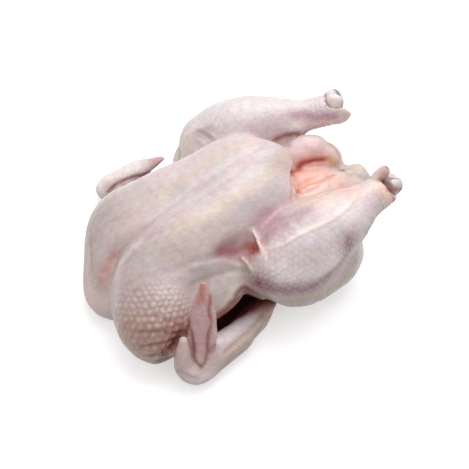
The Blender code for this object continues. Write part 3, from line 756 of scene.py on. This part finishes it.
# each mark has its width, its colour, how strongly it is painted and the points of its line
boneMarks = {
    "hockRight": (
        (3, "#8c544c", 0.75, ((94, -55, 78), (100, -53, 76), (106, -49, 72))),
        (1.8, "#3a1d22", 0.95, ((105.5, -49, 73), (107, -47.5, 72))),
        (1.1, "#6c4850", 0.8, ((97, -42, 84), (101, -45, 81), (106, -45, 78))),
        (1.4, "#7c4a50", 0.7, ((93, -46, 84), (96, -50, 80))),
    ),
    "hockLeft": (
        (1.6, "#463847", 0.9, ((93, 45, 101), (95, 38, 98), (95, 31, 93))),
        (1.2, "#a9a3b4", 0.6, ((84, 47, 100), (84, 41, 102), (86, 35, 99))),
        (2.4, "#cbb7a4", 0.7, ((90, 34, 88), (94, 32, 90))),
        (3.2, "#e0d0c4", 0.8, ((88, 41, 99), (90, 36, 95), (91, 33, 90))),
    ),
}
knuckles = {}
for name, node in (("hockRight", "leg_bone_right"), ("hockLeft", "leg_bone_left")):
    low, high = (np.array(corner) * 1000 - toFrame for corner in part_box(node))
    low, high = low - gristle["margin"], high + gristle["margin"]
    distance = functools.partial(boneDistance, name=name)
    grid = distanceGrid(distance, low, high, gristle["step"], 4.0, 5.0)
    verts, quads = surfaceNet(grid, low, gristle["step"])
    verts, normals = settled(distance, verts, 1, gristle["step"])
    last, along, beside = boneEnd(name)
    across, reached = (verts - last) @ beside, (verts - last) @ along
    atEnd = smoothStep(4, 10, reached)
    between = np.exp(-np.square(across / 1.4)) * atEnd
    moved = verts + normals * ((0.3 * wobble(verts, 6, 11) - gristle["groove"] * between) * atEnd)[:, None]
    shade = np.tile(linear(gristle["colour"]), (len(verts), 1))
    shares = [(gristle["grey"], 0.6 * smoothStep(-0.2, 0.8, wobble(verts, 9, 12))),
              (gristle["grey"], 0.7 * between),
              (gristle["cream"], 0.8 * smoothStep(0.1, 0.9, wobble(verts, 7, 13))),
              (gristle["blood"], 0.9 * smoothStep(7, 3, reached))]
    for width, colour, strength, path in boneMarks[name]:
        line, _ = settled(distance, smoothPath(path, 12), 3, 2.0)
        shares.append((colour, lineWeight(verts, line, width)[0] * strength))
    for colour, share in shares:
        shade = painted(shade, colour, share)
    knuckles[name] = meshObject("leg_bone_" + name, moved, quads)
    pointAttribute(knuckles[name], "tint", "FLOAT_COLOR", np.hstack([shade, np.ones((len(shade), 1))]))
    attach(knuckles[name], "root")
    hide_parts(node)
print("skin and leg bones placed")


# finishes

def setInputs(tree, node, **values):
    # inputs set to values or joined to sockets. An input is named, with underscores for spaces, or
    # numbered as in0, in1 and so on
    for key, value in values.items():
        byNumber = key.startswith("in") and key[2:].isdigit()
        socket = node.inputs[int(key[2:])] if byNumber else node.inputs[key.replace("_", " ")]
        if isinstance(value, bpy.types.NodeSocket):
            tree.links.new(value, socket)
        else:
            socket.default_value = value


def addNode(tree, kind, settings=(), **values):
    node = tree.nodes.new(kind)
    for key, value in dict(settings).items():
        setattr(node, key, value)
    setInputs(tree, node, **values)
    return node


def numbered(values):
    return {f"in{i}": value for i, value in enumerate(values)}


def maths(tree, operation, *values):
    return addNode(tree, "ShaderNodeMath", dict(operation=operation), **numbered(values)).outputs[0]


def vectors(tree, operation, *values):
    node = addNode(tree, "ShaderNodeVectorMath", dict(operation=operation), **numbered(values))
    return node.outputs["Value" if operation == "LENGTH" else "Vector"]


def blended(tree, share, first, second, blend="MIX"):
    settings = dict(data_type="RGBA", blend_type=blend)
    return addNode(tree, "ShaderNodeMix", settings, in0=share, in6=first, in7=second).outputs[2]


def noise(tree, place, size, detail=2.0, output="Fac"):
    # an uneven pattern whose patches are about this many millimetres across
    return addNode(tree, "ShaderNodeTexNoise", Vector=place, Scale=1000 / size, Detail=detail).outputs[output]


def ranged(tree, value, low, high, start=0.0, end=1.0):
    return addNode(tree, "ShaderNodeMapRange", Value=value, From_Min=low, From_Max=high, To_Min=start,
                   To_Max=end).outputs["Result"]


def bumped(tree, height, distance, before=None):
    links = dict(Height=height, Distance=distance / 1000)
    if before is not None:
        links["Normal"] = before
    return addNode(tree, "ShaderNodeBump", **links).outputs["Normal"]


def newMaterial(name):
    material = bpy.data.materials.new(name)
    material.use_nodes = True
    return material, material.node_tree, material.node_tree.nodes["Principled BSDF"]


def opaque(colour):
    return (*linear(colour), 1)


def attribute(tree, name, output="Vector"):
    return addNode(tree, "ShaderNodeAttribute", dict(attribute_name=name)).outputs[output]


def multiplied(tree, first, second):
    return blended(tree, 1.0, first, second, "MULTIPLY")


# raw skin: moist, a little see-through, with pores in rows over fat and small veins that mottle it
pores = dict(stray=0.45, straySize=9.0, edge=0.56, top=0.04, height=1.0, spot="#efe4da", gap="#d6b6ab")
mottle = dict(size=16.0, pink="#fbf7fa", cream="#fcfffd", veinSize=4.5, vein="#e9d6db", veinShare=0.3,
              streak=(0.3, 1.0, 1.0), streakSize=2.2, streakPink="#f6f2f8", streakCream="#fffdf8")
grain = dict(size=0.9, height=0.05, wrinkleSize=2.6, wrinkle=0.14)
moist = dict(dry=0.5, wet=0.3, patch=7.0, coat=0.12, coatRoughness=0.2, glow=0.12, glowDepth=2.2)
material, tree, surface = newMaterial("chickenSkin")
place = addNode(tree, "ShaderNodeTexCoord").outputs["Object"]
laid = attribute(tree, "rows")
amounts = addNode(tree, "ShaderNodeSeparateXYZ", Vector=attribute(tree, "follicles")).outputs
stray = vectors(tree, "SUBTRACT", noise(tree, place, pores["straySize"], 1.0, "Color"), (0.5, 0.5, 0.5))
stray = vectors(tree, "MULTIPLY", stray, (2 * pores["stray"], 2 * pores["stray"], 0))
laid = vectors(tree, "ADD", laid, stray)
# the nearer of two square grids, one set half a step on, makes rows that stand in each other's gaps
cell = (1.0, math.sqrt(3), 1.0)
reaches = []
for half in (0.0, 0.5):
    turnedTo = vectors(tree, "ADD", vectors(tree, "DIVIDE", laid, cell), (half, half, 0.5))
    centred = vectors(tree, "SUBTRACT", vectors(tree, "FRACTION", turnedTo), (0.5, 0.5, 0.5))
    reaches.append(vectors(tree, "LENGTH", vectors(tree, "MULTIPLY", centred, (1.0, math.sqrt(3), 0.0))))
nearest = maths(tree, "MINIMUM", *reaches)
dome = addNode(tree, "ShaderNodeMapRange", dict(interpolation_type="SMOOTHSTEP"), Value=nearest,
               From_Min=pores["top"], From_Max=pores["edge"], To_Min=1.0, To_Max=0.0).outputs["Result"]
patches = blended(tree, ranged(tree, noise(tree, place, mottle["size"], 3.0), 0.38, 0.62),
                  opaque(mottle["pink"]), opaque(mottle["cream"]))
colour = multiplied(tree, attribute(tree, "tint", "Color"), patches)
veins = maths(tree, "MULTIPLY", ranged(tree, noise(tree, place, mottle["veinSize"], 4.0), 0.5, 0.72),
              mottle["veinShare"])
colour = blended(tree, veins, colour, multiplied(tree, colour, opaque(mottle["vein"])))
streaks = noise(tree, vectors(tree, "MULTIPLY", place, mottle["streak"]), mottle["streakSize"], 3.0)
streaks = blended(tree, ranged(tree, streaks, 0.4, 0.6), opaque(mottle["streakPink"]),
                  opaque(mottle["streakCream"]))
colour = multiplied(tree, colour, streaks)
gaps = maths(tree, "MULTIPLY", maths(tree, "SUBTRACT", 1.0, dome), amounts["Y"])
colour = blended(tree, gaps, colour, multiplied(tree, colour, opaque(pores["gap"])))
paleSpots = maths(tree, "MULTIPLY", maths(tree, "POWER", dome, 3.0),
                  maths(tree, "MULTIPLY", amounts["Y"], 0.8))
colour = blended(tree, paleSpots, colour, opaque(pores["spot"]))
normal = bumped(tree, maths(tree, "MULTIPLY", dome, amounts["X"]), pores["height"])
normal = bumped(tree, noise(tree, place, grain["wrinkleSize"], 3.0), grain["wrinkle"], normal)
normal = bumped(tree, noise(tree, place, grain["size"], 2.0), grain["height"], normal)
roughness = ranged(tree, noise(tree, place, moist["patch"], 3.0), 0.35, 0.65, moist["wet"], moist["dry"])
setInputs(tree, surface, Base_Color=colour, Normal=normal, Roughness=roughness,
          Subsurface_Weight=moist["glow"], Subsurface_Scale=moist["glowDepth"] / 1000,
          Subsurface_Radius=(1.0, 0.4, 0.25), Coat_Weight=moist["coat"],
          Coat_Roughness=moist["coatRoughness"])
birdSkin.data.materials.append(material)

# wet gristle: smooth and shiny, with a fine unevenness that breaks up its shine
wet = dict(grainSize=2.0, grain=0.2, roughness=0.34, glow=0.2, glowDepth=2.0, coat=0.1, coatRoughness=0.1)
material, tree, surface = newMaterial("wetCartilage")
place = addNode(tree, "ShaderNodeTexCoord").outputs["Object"]
setInputs(tree, surface, Base_Color=attribute(tree, "tint", "Color"),
          Normal=bumped(tree, noise(tree, place, wet["grainSize"], 3.0), wet["grain"]),
          Roughness=wet["roughness"], Subsurface_Weight=wet["glow"],
          Subsurface_Scale=wet["glowDepth"] / 1000, Coat_Weight=wet["coat"],
          Coat_Roughness=wet["coatRoughness"])
for piece in knuckles.values():
    piece.data.materials.append(material)
print("finishes made")


# the table, the light and the camera

studio = dict(tableSize=6.0, tableGlow=0.47, tableColour="#d2d2d2", skyAbove=0.86, skyBelow=0.4, lampSize=1.0,
              lampPower=10.5, lampPlace=(0.35, 0.35, 1.15))
table = meshObject("studioTable", np.array([(x, y, 0) for x, y in ((-1, -1), (1, -1), (1, 1), (-1, 1))])
                   * studio["tableSize"] * 500 - toFrame, np.array([(0, 1, 2, 3)]))
material, tree, surface = newMaterial("litWhiteTable")
setInputs(tree, surface, Base_Color=opaque(studio["tableColour"]), Roughness=0.9, Specular_IOR_Level=0.0,
          Emission_Color=(1, 1, 1, 1), Emission_Strength=studio["tableGlow"])
table.data.materials.append(material)
table.visible_diffuse = False           # its glow whitens the picture but doesn't light the bird from below

world = bpy.data.worlds.new("studioSky")
world.use_nodes = True
tree = world.node_tree
direction = addNode(tree, "ShaderNodeTexCoord").outputs["Generated"]
height = addNode(tree, "ShaderNodeSeparateXYZ", Vector=direction).outputs["Z"]
setInputs(tree, tree.nodes["Background"], Color=(1, 1, 1, 1),
          Strength=ranged(tree, height, -0.15, 0.15, studio["skyBelow"], studio["skyAbove"]))
bpy.context.scene.world = world

lamp = placed("overheadSoftbox", bpy.data.lights.new("overheadSoftbox", "AREA"))
lamp.data.size = studio["lampSize"]
lamp.data.energy = studio["lampPower"]
lamp.location = studio["lampPlace"]
lamp.rotation_euler = (-Vector(studio["lampPlace"])).to_track_quat("-Z", "Y").to_euler()

photo = dict(azimuth=-21.5, elevation=45.0, distance=900.0, lens=86.35, target=(-5.117, 11.408, 8.739))
azimuth, elevation = math.radians(photo["azimuth"]), math.radians(photo["elevation"])
back = Vector((math.sin(azimuth) * math.cos(elevation), -math.cos(azimuth) * math.cos(elevation),
               math.sin(elevation)))
target = Vector(photo["target"]) + Vector(toFrame)
camera = placed("photoCamera", bpy.data.cameras.new("photoCamera"))
camera.data.lens = photo["lens"]
camera.data.sensor_width = 36.0
camera.location = (target + back * photo["distance"]) / 1000
camera.rotation_euler = back.to_track_quat("Z", "Y").to_euler()
bpy.context.scene.camera = camera
bpy.context.scene.view_settings.view_transform = "Standard"
